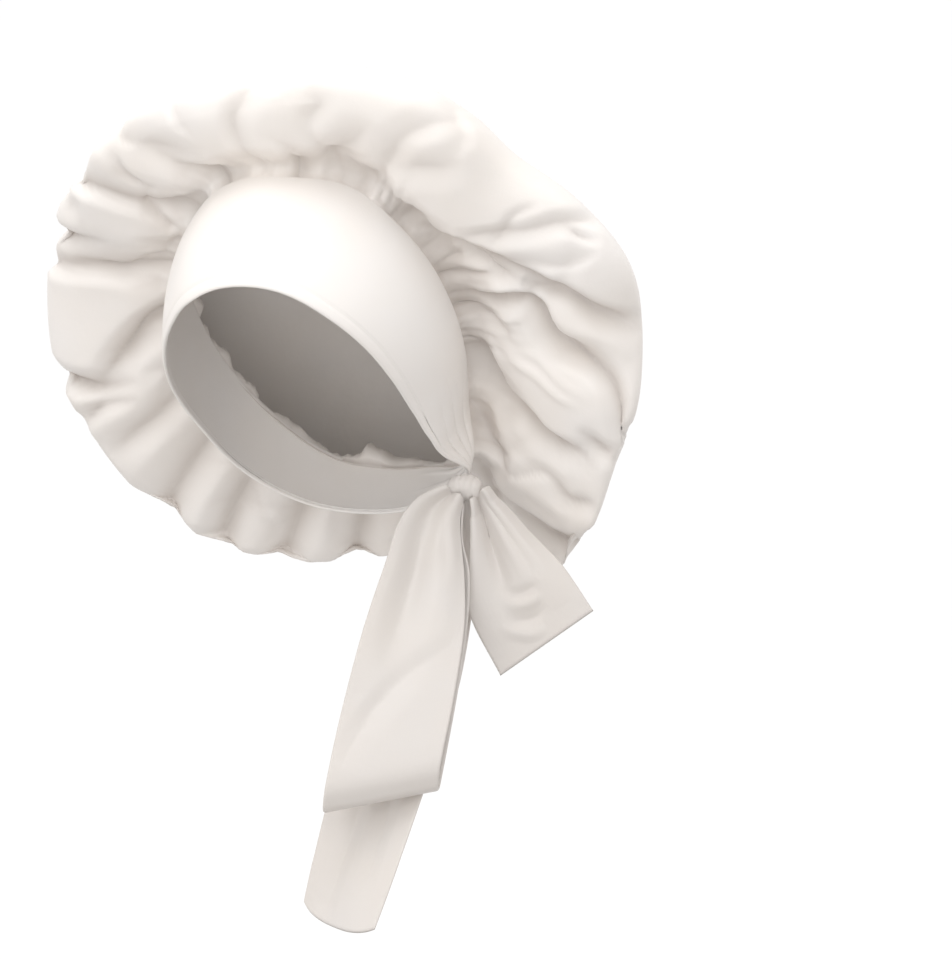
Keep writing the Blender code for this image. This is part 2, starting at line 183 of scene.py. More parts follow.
def satin(name, colour, roughness, sheen, pucker):
    """Woven satin: bump = puckers + threads, colour = base x drift, then x painted crease shade."""
    material = bpy.data.materials.new(name)
    material.use_nodes = True
    nodes, links = material.node_tree.nodes, material.node_tree.links
    shader = nodes["Principled BSDF"]
    shader.inputs["Roughness"].default_value = roughness
    shader.inputs["Sheen Weight"].default_value = sheen
    shader.inputs["Sheen Roughness"].default_value = 0.4
    shader.inputs["Specular IOR Level"].default_value = 0.45
    flat = nodes.new("ShaderNodeUVMap")
    flat.uv_map = "flat_cut"
    place = nodes.new("ShaderNodeTexCoord")

    drift = nodes.new("ShaderNodeTexNoise")
    drift.inputs["Scale"].default_value = DRIFT_SCALE
    drift.inputs["Detail"].default_value = 3.0
    links.new(place.outputs["Object"], drift.inputs["Vector"])
    ramp = nodes.new("ShaderNodeValToRGB")
    warm = tuple(part * factor for part, factor in zip(colour, WARM_DRIFT))
    ramp.color_ramp.elements[0].position = 0.35
    ramp.color_ramp.elements[0].color = (*warm, 1.0)
    ramp.color_ramp.elements[1].position = 0.68
    ramp.color_ramp.elements[1].color = (*colour, 1.0)
    links.new(drift.outputs["Fac"], ramp.inputs["Fac"])

    # painted shade: the colour is mixed towards a darker warm tone where the cloth's attribute
    # marks a crease or the seam
    painted_shade = nodes.new("ShaderNodeAttribute")
    painted_shade.attribute_name = "painted_shade"
    paint_shade = nodes.new("ShaderNodeMix")
    paint_shade.data_type = "RGBA"
    painted_shade_colour = tuple(part * shade for part, shade in zip(colour, PAINTED_CREASE_SHADE))
    paint_shade.inputs[7].default_value = (*painted_shade_colour, 1.0)
    links.new(painted_shade.outputs["Fac"], paint_shade.inputs[0])
    links.new(ramp.outputs["Color"], paint_shade.inputs[6])
    links.new(paint_shade.outputs[2], shader.inputs["Base Color"])

    puckers = nodes.new("ShaderNodeTexNoise")
    puckers.inputs["Scale"].default_value = 1 / PUCKER_SIZE
    puckers.inputs["Detail"].default_value = 4.0
    puckers.inputs["Roughness"].default_value = 0.45
    links.new(place.outputs["Object"], puckers.inputs["Vector"])
    bump = nodes.new("ShaderNodeBump")
    bump.inputs["Strength"].default_value = pucker
    bump.inputs["Distance"].default_value = PUCKER_DEPTH
    links.new(puckers.outputs["Fac"], bump.inputs["Height"])
    for direction in ("X", "Y"):
        threads = nodes.new("ShaderNodeTexWave")
        threads.bands_direction = direction
        threads.inputs["Scale"].default_value = 1 / WEAVE_PITCH / 20
        threads.inputs["Distortion"].default_value = 0.4
        threads.inputs["Detail"].default_value = 1.0
        links.new(flat.outputs["UV"], threads.inputs["Vector"])
        weave = nodes.new("ShaderNodeBump")
        weave.inputs["Strength"].default_value = 0.10
        weave.inputs["Distance"].default_value = THREAD_DEPTH
        links.new(threads.outputs["Fac"], weave.inputs["Height"])
        links.new(bump.outputs["Normal"], weave.inputs["Normal"])
        bump = weave
    links.new(bump.outputs["Normal"], shader.inputs["Normal"])
    return material


crown_satin = satin("crown_satin", (0.93, 0.905, 0.885), 0.36, 0.10, 0.20)
band_satin = satin("band_satin", (0.90, 0.88, 0.865), 0.50, 0.12, 0.05)
# the ties' satin is the crown's white satin darkened, a painted shade for the shade they hang in
tie_satin = satin("tie_satin", (0.75, 0.724, 0.704), 0.38, 0.10, 0.12)
print("satins:", crown_satin.name, band_satin.name, tie_satin.name)

# %% [markdown]
# ## From a grid of points to a piece of cloth
# Every piece here is a grid of points, its middle surface. Sewn cloth of two layers is the same
# grid pushed out to both sides, by a thickness that falls to nothing at the edges, so both layers
# meet in a round fold. The flat-cut coordinates of each point go into the UV map.

# %% Grid, UV and two-layer helpers
MM = 0.001


def grid_corners(rows, columns):
    """Row and column of the four corners of each cell, anticlockwise as seen from the front."""
    row, column = np.meshgrid(np.arange(rows - 1), np.arange(columns - 1), indexing="ij")
    row, column = row.ravel()[:, None], column.ravel()[:, None]
    return row + (0, 0, 1, 1), column + (0, 1, 1, 0)


def cloth_piece(name, points, faces, flats, material, node):
    """Mesh object from points and lists of corners, with a UV pair for each corner of a face."""
    mesh = bpy.data.meshes.new(name)
    mesh.from_pydata(points, [], faces)
    layer = mesh.uv_layers.new(name="flat_cut")
    layer.data.foreach_set("uv", np.concatenate(flats).astype(np.float32).ravel())
    mesh.materials.append(material)
    mesh.shade_smooth()
    piece = bpy.data.objects.new(name, mesh)
    bpy.context.scene.collection.objects.link(piece)
    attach(piece, "root")
    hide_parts(node)
    return piece


def two_layers(name, middle, half, flat, wraps, material, node):
    """Front = middle + half times the normal, back = middle - half times the normal.

    Half is 0 along the free edges, where both layers share their points. Flat gives each grid
    point's place on the flat cut, with one more column than the points where the grid wraps.
    """
    rows, columns = middle.shape[:2]
    offset = surface_normals(middle, wraps) * half[..., None]
    front, back = middle + offset, middle - offset
    numbers = np.arange(rows * columns).reshape(rows, columns)
    inner = half > 0
    behind = numbers.copy()
    behind[inner] = rows * columns + np.arange(inner.sum())
    row, column = grid_corners(rows, columns + 1 if wraps else columns)
    over, under = numbers[row, column % columns], behind[row, column % columns]
    points = np.vstack((front.reshape(-1, 3), back[inner]))
    faces = over.tolist() + under[:, ::-1].tolist()
    spread = flat[row, column]
    flats = [spread.reshape(-1, 2), spread[:, ::-1].reshape(-1, 2)]
    return cloth_piece(name, points.tolist(), faces, flats, material, node)


def edge_spacing(count):
    """Shares from 0 to 1, closer together near both ends: half of even steps, half a cosine."""
    even = np.linspace(0, 1, count)
    return 0.35 * even + 0.65 * (1 - np.cos(math.pi * even)) / 2


def round_edge(share, width, roll, thickness):
    """Half thickness across a strip: a quarter circle of radius roll at both edges, then flat."""
    near = np.minimum(share, 1 - share) * width / roll
    return thickness / 2 * np.sqrt(1 - (1 - np.clip(near, 0, 1)) ** 2)


# %% [markdown]
# ## Headband
# The band frames the face from the forehead to the chin ties and runs round the nape as one
# strip. It is doubled cloth that is pulled smooth when worn, so it is a ruled strip between two
# edge lines with a slight bulge, soft rolls along its edges, a shallow stitched groove beside the
# front one, and pleats only near the knot, where its width is drawn together.

# %% Headband surface
BAND_WIDTH = 0.080
BAND_BULGE = 0.008
BAND_THICKNESS = 0.0022
BAND_ROLL = 0.0024
BAND_COLUMNS = 420
BAND_ROWS = 72
HEM_SHARE = 0.075
HEM_WIDTH = 0.010
HEM_DEPTH = 0.0006
KNOT_ANGLE = 139.0
PLEATS_FROM = 92
PLEATS_TO = 172
PLEAT_WIDTH = 0.045

# Share across the band beside the knot, its drift far from the knot, depth in metres
BAND_PLEATS = ((0.24, 0.10, 0.0016), (0.50, -0.04, 0.0024), (0.76, 0.06, 0.0018))

# Angle in degrees, radii as shares of RING_RADIUS, heights as shares of BAND_WIDTH, bulge share
BAND_EDGES = (
    # angle, front radius, front height, back radius, back height, bulge
    (-160, 1.18, -0.13, 1.10, 0.32, 0.4),
    (-140, 1.12, -0.18, 1.04, 0.34, 0.5),
    (-117, 0.95, -0.29, 1.00, 0.35, 0.6),
    (-90, 0.83, -0.44, 1.01, 0.36, 0.5),
    (-62, 0.77, -0.56, 1.05, 0.36, 0.5),
    (-39, 0.78, -0.64, 1.06, 0.36, 0.8),
    (-20, 0.84, -0.69, 1.08, 0.33, 1.0),
    (0, 0.90, -0.68, 1.08, 0.29, 1.0),
    (21, 0.91, -0.64, 0.99, 0.44, 1.0),
    (44, 0.86, -0.60, 0.91, 0.41, 1.0),
    (62, 0.82, -0.55, 0.86, 0.39, 1.0),
    (81, 0.79, -0.49, 0.82, 0.38, 1.0),
    (105, 0.80, -0.38, 0.82, 0.38, 0.8),
    (120, 0.88, -0.30, 0.86, 0.37, 0.5),
    (132, 1.01, -0.18, 0.97, 0.29, 0.2),
    (139, 1.17, -0.02, 1.13, 0.15, 0.0),
    (147, 1.20, -0.03, 1.14, 0.18, 0.1),
    (162, 1.19, -0.08, 1.11, 0.29, 0.3),
    (180, 1.20, -0.08, 1.11, 0.33, 0.4),
)


def band_edges(angles):
    """Radius and height of the front and back edges, and the bulge, at angles in degrees."""
    table = np.array(BAND_EDGES, float)
    shares = curve_through(table[:, 0], table[:, 1:], angles, period=360)
    return (shares * (RING_RADIUS, BAND_WIDTH, RING_RADIUS, BAND_WIDTH, BAND_BULGE)).T


def band_middle(angles, across):
    """Straight from front edge to back edge, plus bulge times 4x(1 - x), x the share across."""
    front_radius, front_height, back_radius, back_height, bulge = band_edges(angles)
    across = across[:, None]
    radius = front_radius * (1 - across) + back_radius * across + bulge * 4 * across * (1 - across)
    height = front_height * (1 - across) + back_height * across
    return on_ring(radius, np.broadcast_to(angles, radius.shape), height)


def headband():
    """Band middle less nearness to the knot x cusps at set shares across, less the hem's groove."""
    angles = np.linspace(-180, 180, BAND_COLUMNS, endpoint=False)
    across = edge_spacing(BAND_ROWS)
    middle = band_middle(angles, across)
    near = smooth(PLEATS_FROM, KNOT_ANGLE, angles) * (1 - smooth(KNOT_ANGLE, PLEATS_TO, angles))
    pleats = sum(
        depth * np.exp(-abs(across[:, None] - place - drift * (1 - near)) / PLEAT_WIDTH)
        for place, drift, depth in BAND_PLEATS
    )
    stitched = HEM_DEPTH * np.exp(-((across[:, None] - HEM_SHARE) / HEM_WIDTH) ** 2)
    middle = middle - surface_normals(middle, True) * (near * pleats + stitched)[..., None]
    width = np.linalg.norm(middle[-1] - middle[0], axis=-1)
    half = round_edge(across[:, None], width, BAND_ROLL, BAND_THICKNESS)
    along = np.radians(np.append(angles, 180.0)) * RING_RADIUS
    flat = np.stack(np.broadcast_arrays(along, across[:, None] * BAND_WIDTH), -1)
    return two_layers(
        "headband_cloth", middle, half, flat, True, band_satin, "headband")


band = headband()
print("headband", len(band.data.polygons), "faces")

# %% [markdown]
# ## Crown
# The crown is one disc of satin whose edge is gathered into the band. The pouch itself is a smooth
# section from the seam over the rim to the middle of the back. Its folds are lines drawn on it,
# each with a depth along the way and a width on either side: a steep side and a gentle side make
# the lopsided valleys of cloth that hangs over itself. Short creases from seeded dice go between
# them. Deep inside a fold and along the seam an attribute paints a darker shade onto the satin,
# in place of the shadow that falls there.

# %% Crown tables
CROWN_RADIUS = 0.165
CROWN_DEPTH = 0.130
CROWN_PUFF = 0.020
CROWN_SAG = 0.012
CROWN_THICKNESS = 0.0008
CROWN_DISC = 0.54
SEAM_TUCK = 0.003

# Angle, radius share of CROWN_RADIUS, height share of CROWN_DEPTH, fullness
CROWN_RIM = (
    (-142, 1.12, 0.00, 0.6),
    (-126, 1.10, -0.05, 0.8),
    (-109, 1.07, -0.05, 1.0),
    (-98, 1.08, -0.02, 1.0),
    (-77, 1.06, 0.13, 1.0),
    (-55, 1.00, 0.15, 1.0),
    (-40, 0.97, 0.15, 1.0),
    (-27, 0.96, 0.19, 1.0),
    (-6, 0.93, 0.23, 1.0),
    (18, 0.95, 0.31, 1.0),
    (40, 0.92, 0.38, 1.0),
    (57, 0.85, 0.43, 1.0),
    (74, 0.93, 0.46, 1.0),
    (88, 1.00, 0.46, 1.0),
    (100, 1.00, 0.44, 1.0),
    (110, 1.04, 0.28, 0.9),
    (125, 1.04, 0.15, 0.4),
    (136, 1.08, 0.07, -0.1),
    (148, 1.10, 0.04, -0.2),
    (163, 1.04, 0.11, 0.1),
    (180, 0.98, 0.15, 0.3),
)

# Place along the section, shares of seam, rim and back, then out, rise and swell as shares of
# CROWN_PUFF
CROWN_SECTION = (
    (0.00, 1.00, 0.00, 0.00, 0.00, 0.00, 0.00),
    (0.05, 0.94, 0.06, 0.00, 0.00, 0.20, 0.00),
    (0.20, 0.60, 0.40, 0.00, 0.00, 0.00, 0.35),
    (0.34, 0.20, 0.80, 0.00, 0.05, 0.00, 0.45),
    (0.45, 0.00, 1.00, 0.00, 0.00, 0.10, 0.00),
    (0.60, 0.00, 0.78, 0.22, 0.75, 0.85, 0.00),
    (0.80, 0.00, 0.38, 0.62, 0.80, 1.00, 0.00),
    (1.00, 0.00, 0.00, 1.00, 0.00, 0.00, 0.00),
)

# Folds: the width in mm on either side, then the points of the line: angle, place along the
# section, depth in mm, below 0 for a ridge. The first width is on the side of smaller angles where
# the line runs outward from the seam, and on the outward side where it runs along the angles.
FOLDS = (
    # the shade line along the seam, beside the band on the wearer's left
    (9, 8, (36, 0.02, 0), (45, 0.02, 4), (54, 0.02, 6), (66, 0.03, 7), (89, 0.03, 7),
     (104, 0.025, 6), (120, 0.03, 5), (132, 0.035, 4), (142, 0.05, 2)),
    # over the temple on the wearer's left: a flap with a fine lower edge
    (14, 10, (24, 0.02, 3), (31, 0.15, 4), (35, 0.33, 3), (41, 0.45, 2), (46, 0.60, 0)),
    (14, 14, (34, 0.18, 0), (39, 0.25, 3), (45, 0.31, 3), (48, 0.38, 0)),
    (10, 8, (42, 0.03, 4), (47, 0.08, 3), (53, 0.13, 0)),
    (6, 10, (60, 0.18, 0), (65, 0.26, 4), (69, 0.33, 4), (72, 0.41, 4), (75, 0.48, 3),
     (78, 0.56, 0)),
    (4, 4, (74, 0.41, 1), (77, 0.42, 4), (80, 0.45, 0)),
    (6, 17, (50, 0.05, 4), (57, 0.10, 7), (62, 0.15, 9), (69, 0.19, 9), (74, 0.22, 9),
     (80, 0.26, 8), (84, 0.28, 7), (88, 0.31, 6), (92, 0.34, 6), (96, 0.40, 5), (99, 0.48, 0)),
    (4, 6, (68, 0.12, 0), (70, 0.15, 4), (74, 0.18, 5), (78, 0.20, 5), (84, 0.24, 0)),
    (5, 6, (72, 0.03, 4), (74, 0.05, 5), (76, 0.11, 5), (78, 0.17, 4), (80, 0.21, 0)),
    (4, 5, (79, 0.04, 3), (80, 0.10, 4), (81, 0.17, 0)),
    # the long curved valley, and the bright lobe above its outer half
    (6, 12, (84, 0.03, 5), (85, 0.08, 7), (86, 0.12, 9), (86, 0.17, 11), (87, 0.21, 13),
     (90, 0.235, 13), (94, 0.245, 12), (98, 0.26, 11), (101, 0.30, 10), (104, 0.35, 9),
     (107, 0.385, 9), (111, 0.41, 8), (115, 0.44, 6), (119, 0.50, 0)),
    (9, 6, (85, 0.25, 7), (88, 0.295, 6), (94, 0.35, 5), (98, 0.42, 3), (101, 0.48, 0)),
    (14, 12, (91, 0.26, 0), (96, 0.31, -5), (100, 0.37, -4), (104, 0.43, 0)),
    # the lobe below it, with two fine raised creases
    (3, 3, (104, 0.13, 0), (106, 0.17, -1.4), (108, 0.22, -1.6), (111, 0.26, -1.6), (112, 0.31, 0)),
    (3, 3, (101, 0.18, 0), (104, 0.23, -1.3), (108, 0.27, -1.3), (110, 0.33, 0)),
    (7, 8, (92, 0.05, 5), (95, 0.11, 5), (98, 0.17, 0)),
    # the broad dark valley below it
    (8, 14, (104, 0.04, 5), (110, 0.07, 9), (118, 0.10, 13), (121, 0.14, 15), (122, 0.20, 15),
     (124, 0.24, 13), (124, 0.28, 9), (123, 0.33, 5), (124, 0.40, 0)),
    (6, 8, (130, 0.04, 5), (134, 0.08, 8), (137, 0.12, 6), (141, 0.17, 0)),
    (8, 8, (117, 0.31, 0), (120, 0.37, 7), (121, 0.42, 5), (122, 0.48, 0)),
    (6, 9, (133, 0.27, 0), (134, 0.33, 5), (132, 0.38, 4), (131, 0.44, 0)),
    (9, 14, (149, 0.14, 0), (147, 0.20, 4), (145, 0.28, 7), (144, 0.34, 9), (141, 0.41, 9),
     (138, 0.48, 5), (137, 0.56, 0)),
    # the top
    (12, 14, (14, 0.03, 3), (17, 0.15, 4), (23, 0.24, 3), (27, 0.34, 0)),
    (8, 14, (-4, 0.02, 2), (-7, 0.14, 2.5), (-6, 0.28, 5), (-2, 0.38, 4), (2, 0.50, 2),
     (4, 0.60, 0)),
    (8, 8, (4, 0.02, 2), (5, 0.07, 3), (7, 0.13, 0)),
    (12, 12, (-24, 0.02, 5), (-25, 0.09, 8), (-27, 0.15, 4), (-29, 0.22, 0)),
    (20, 16, (-18, 0.18, 0), (-27, 0.28, 4), (-33, 0.36, 3), (-36, 0.46, 2), (-38, 0.56, 0)),
    # the wearer's right: ledges that are lit above and dark below
    (6, 24, (-44, 0.03, 4), (-47, 0.10, 6), (-49, 0.20, 8), (-50, 0.31, 8), (-52, 0.41, 8),
     (-54, 0.54, 0)),
    (5, 5, (-55, 0.10, 4), (-51, 0.15, 4), (-48, 0.20, 0)),
    (13, 10, (-63, 0.24, 0), (-66, 0.33, 7), (-67, 0.41, 11), (-66, 0.51, 7), (-64, 0.62, 0)),
    (7, 26, (-70, 0.03, 5), (-72, 0.11, 8), (-73, 0.23, 9), (-74, 0.34, 9), (-75, 0.45, 6),
     (-77, 0.58, 0)),
    (13, 11, (-86, 0.07, 6), (-89, 0.16, 15), (-94, 0.23, 14), (-98, 0.28, 4), (-101, 0.34, 0)),
    (6, 14, (-102, 0.22, 0), (-101, 0.29, 8), (-99, 0.36, 13), (-97, 0.44, 9), (-95, 0.55, 0)),
    (7, 7, (-106, 0.24, 0), (-104, 0.31, 6), (-105, 0.38, 6), (-107, 0.46, 0)),
    (14, 14, (-108, 0.10, 7), (-112, 0.22, 8), (-113, 0.32, 7), (-114, 0.42, 0)),
    # the nape and the back
    (18, 24, (-123, 0.03, 1), (-123, 0.10, 7), (-126, 0.20, 12), (-129, 0.40, 10), (-131, 0.62, 0)),
    (22, 16, (-137, 0.03, 1), (-137, 0.10, 7), (-139, 0.20, 11), (-141, 0.40, 8), (-146, 0.58, 0)),
    (16, 22, (-152, 0.03, 1), (-152, 0.10, 7), (-153, 0.22, 11), (-152, 0.42, 10), (-148, 0.64, 0)),
    (24, 16, (-168, 0.03, 1), (-168, 0.10, 7), (-168, 0.20, 11), (-166, 0.40, 8), (-168, 0.60, 0)),
    (16, 22, (176, 0.03, 1), (176, 0.10, 7), (177, 0.20, 10), (180, 0.40, 9), (184, 0.66, 0)),
    (22, 16, (162, 0.03, 1), (162, 0.10, 7), (165, 0.20, 12), (169, 0.38, 8), (170, 0.56, 0)),
    (18, 18, (150, 0.03, 1), (150, 0.10, 7), (154, 0.20, 11), (157, 0.38, 8), (163, 0.62, 0)),
)

# %% Crown surface
DRAWN_COLUMNS = 400
DRAWN_ROWS = 110
LINE_POINTS = 40
VALLEY_ROUND = 0.0010
VALLEY_BEND = 1.3
# fold depth in mm at which the painted crease shade is full
CREASE_DEPTH = 9.0
SMALL_FOLDS = 110
SMALL_FOLDS_SEED = 11
GATHERS = 43
GATHER_HEIGHT = 0.0018

# Places along the section: full depth of the folds, and fade of the painted shade at the seam
FOLDS_FULL = 0.022
PAINTED_SEAM_SHADE = (0.004, 0.016)


def pouch_points(angle, place):
    """Seam, rim and back blended by place, plus puff, less sag, for paired angles and places."""
    angle, place = np.broadcast_arrays(angle, place)
    _, _, seam_radius, seam_height, _ = band_edges(angle.ravel())
    table = np.array(CROWN_RIM, float)
    rim = curve_through(table[:, 0], table[:, 1:], angle.ravel(), period=360)
    rim_radius, rim_height, fullness = (rim * (CROWN_RADIUS, CROWN_DEPTH, 1.0)).T
    table = np.array(CROWN_SECTION, float)
    seam, rim, back, out, rise, swell = curve_through(table[:, 0], table[:, 1:], place.ravel()).T
    radius = seam * seam_radius + rim * rim_radius + out * CROWN_PUFF
    height = seam * seam_height + rim * rim_height + back * CROWN_DEPTH
    height = height + (rise - swell * fullness) * CROWN_PUFF
    height = height - (1 - smooth(0, 0.03, place.ravel())) * SEAM_TUCK
    points = on_ring(radius, angle.ravel(), height) - back[:, None] * CROWN_SAG * RING_TOP
    return points.reshape(*angle.shape, 3)


def crown_places(count):
    """Places along the section, with closer rows in front, where the gathers are."""
    even = np.linspace(0, 1, count)
    return 0.72 * even + 0.28 * even**2.2


def outward(points):
    """Normals of the pouch; at the middle of the back, where all columns meet, the axis."""
    normals = surface_normals(points[:-1], True)
    return np.concatenate((normals, np.broadcast_to(AXIS, normals[:1].shape)))


def fold_along(flat, line, normal, depth, before, after):
    """Depth x (1 - distance square to the line / width of that side)^bend, and painted shade.

    The distance is taken from the line's nearest point and rounded at the bottom of the fold.
    """
    tangent = unit(np.gradient(line, axis=0))
    side = np.cross(normal, tangent)
    steps = np.linalg.norm(np.diff(line, axis=0), axis=-1).max()
    reach = max(before, after) * MM
    centre = line.mean(0)
    extent = np.linalg.norm(line - centre, axis=-1).max() + reach
    near = np.flatnonzero(np.linalg.norm(flat - centre, axis=-1) < extent)
    apart = flat[near, None] - line
    closest = (apart**2).sum(-1).argmin(1)
    apart = apart[np.arange(len(near)), closest]
    along = np.clip((apart * tangent[closest]).sum(-1), -steps, steps)
    square = apart - along[:, None] * tangent[closest]
    share = 0.5 + np.clip((square * side[closest]).sum(-1) / MM, -0.5, 0.5)
    width = (before * share + after * (1 - share)) * MM
    distance = np.sqrt((square**2).sum(-1) + VALLEY_ROUND**2) - VALLEY_ROUND
    inside = np.clip(1 - distance / width, 0, 1)
    # painted shade inside the fold: deeper folds and points nearer the line get more
    painted_shade = np.clip(depth[closest] / CREASE_DEPTH, 0, 1) * inside**3
    return near, depth[closest] * MM * inside**VALLEY_BEND, painted_shade


def fold_depths(points, folds):
    """Sum of the folds drawn on the pouch, and the painted shade each point gets inside a crease.
    """
    total = np.zeros(points.shape[:-1])
    painted_shade = np.zeros(points.shape[:-1])
    flat = points.reshape(-1, 3)
    for before, after, *stations in folds:
        angle, place, depth = np.array(stations, float).T
        angle = np.degrees(np.unwrap(np.radians(angle)))
        at = np.linspace(0, len(angle) - 1, LINE_POINTS)
        angle, place, depth = curve_through(
            np.arange(len(angle)), np.stack((angle, place, depth), -1), at).T
        line = pouch_points(angle, place)
        normal = unit(np.cross(pouch_points(angle + 0.5, place) - line,
                               pouch_points(angle, place + 0.005) - line))
        near, amount, shade = fold_along(flat, line, normal, depth, before, after)
        total.ravel()[near] += amount
        painted_shade.ravel()[near] = 1 - (1 - painted_shade.ravel()[near]) * (1 - shade)
    return total, painted_shade


def small_folds(count):
    """Short creases from seeded dice: start, length, slant, depth, width and how lopsided it is."""
    dice = np.random.default_rng(SMALL_FOLDS_SEED)
    folds = []
    for _ in range(count):
        angle, start = dice.uniform(-180, 180), dice.choice((0.03, 0.03, dice.uniform(0.08, 0.5)))
        length, slant, bend = dice.uniform(0.07, 0.24), dice.normal(0, 9), dice.normal(0, 3)
        depth, wide, lopsided = dice.uniform(0.8, 2.8), dice.uniform(4, 11), dice.uniform(0.4, 1.6)
        folds.append((
            wide * lopsided, wide * (2 - lopsided), (angle, start, depth),
            (angle + slant / 2 + bend, start + length / 2, depth),
            (angle + slant, start + length, 0),
        ))
    return folds


def pole_mesh(grid):
    """Points and faces of a grid that wraps round and ends in one point, and its cells' corners."""
    rows, columns = grid.shape[:2]
    row, column = grid_corners(rows - 1, columns + 1)
    last = (rows - 2) * columns
    ring = np.arange(columns)
    fan = np.stack((last + ring, last + (ring + 1) % columns, np.full(columns, last + columns)), -1)
    points = np.vstack((grid[:-1].reshape(-1, 3), grid[-1, :1]))
    return points, (row * columns + column % columns).tolist() + fan.tolist(), row, column


def gathers(angles, place):
    """Small puckers at the seam: |cosine| cusps that swell and ebb, fading out by a quarter.

    Their phase wanders with the angle, so no two puckers are alike.
    """
    turn = np.radians(angles)
    fade = smooth(0, 0.035, place) * (1 - smooth(0.05, 0.26, place))
    wander = 1.7 * np.sin(3 * turn + 0.6) + 1.1 * np.sin(7 * turn + 2.1)
    fine = abs(np.cos(GATHERS * turn + 2.2 * wander)) ** 0.8 * (0.5 + 0.5 * np.sin(11 * turn + 1.3))
    return GATHER_HEIGHT * fine * fade


def crown():
    """Pouch less its folds, plus the gathers, laid out on the flat disc it was cut from."""
    place = crown_places(DRAWN_ROWS)
    angles = np.linspace(-180, 180, DRAWN_COLUMNS, endpoint=False)
    grid = pouch_points(angles, place[:, None])
    depths, painted_shades = fold_depths(grid, FOLDS + tuple(small_folds(SMALL_FOLDS)))
    depths, painted_shades = (part * smooth(0, FOLDS_FULL, place[:, None]) for part in (depths, painted_shades))
    # painted shade along the seam, in place of the shadow where the crown meets the band
    painted_shades = np.maximum(painted_shades, 1 - smooth(*PAINTED_SEAM_SHADE, place[:, None]))
    grid = grid - outward(grid) * depths[..., None]
    grid = grid + outward(grid) * gathers(angles, place[:, None])[..., None]
    points, faces, row, column = pole_mesh(grid)
    reach = (1 - place[:, None]) * CROWN_DISC / 2
    turns = np.radians(np.append(angles, 180.0))
    flat = np.stack((reach * np.sin(turns), reach * np.cos(turns)), -1)
    ring = np.arange(DRAWN_COLUMNS)
    fan_flat = np.stack((flat[-2, ring], flat[-2, ring + 1], np.zeros((DRAWN_COLUMNS, 2))), 1)
    flats = [flat[row, column].reshape(-1, 2), fan_flat.reshape(-1, 2)]
    piece = cloth_piece(
        "crown_cloth", points.tolist(), faces, flats, crown_satin, "crown")
    # the painted shade is stored for the satin as a point attribute
    shade = piece.data.attributes.new("painted_shade", "FLOAT", "POINT")
    shade.data.foreach_set("value", np.append(painted_shades[:-1].ravel(), 0.0))
    return piece


pouch = crown()
print("crown", len(pouch.data.polygons), "faces,", len(FOLDS), "drawn folds")
wall = pouch.modifiers.new("wall", "SOLIDIFY")
wall.thickness = CROWN_THICKNESS
wall.offset = 0.0

# %% [markdown]
# ## Knot
# The knot is a short length of strap wrapped round the others. It is a rounded pillow whose
# section round the wrap carries a few sharp pleats. It is drawn in from the size of the CAD
# pillow, so that the tops of the straps gather over it.

# %% Knot surface
KNOT_WIDTH = 0.026
KNOT_HEIGHT = 0.021
KNOT_DEPTH = 0.016
KNOT_HANGS = (-0.20, 0.45, -0.87)
KNOT_DRAWN_IN = 0.72
CLEARANCE = 0.0003
KNOT_COLUMNS = 96
KNOT_ROWS = 38
KNOT_ROUNDNESS = 0.75
KNOT_SLANT = 0.16
KNOT_PLEAT_WIDTH = 0.07
KNOT_ROW_STEP = 0.0008

# Place across the knot from -1 to 1, depth as a share of the radius
KNOT_PLEATS = ((-0.62, 0.10), (-0.24, 0.16), (0.16, 0.12), (0.55, 0.15))


def knot_reach(direction):
    """How far the knot's ellipsoid reaches along a direction: 1 / |direction / half sizes|."""
    half = np.array((KNOT_WIDTH, KNOT_DEPTH, KNOT_HEIGHT)) / 2
    return 1 / np.linalg.norm(direction / half)


edge = band_middle(np.array((KNOT_ANGLE,)), np.zeros(1))[0, 0]
hangs = unit(np.array(KNOT_HANGS))
knot_centre = edge + hangs @ TIE_DIRECTIONS * (CLEARANCE + knot_reach(hangs))


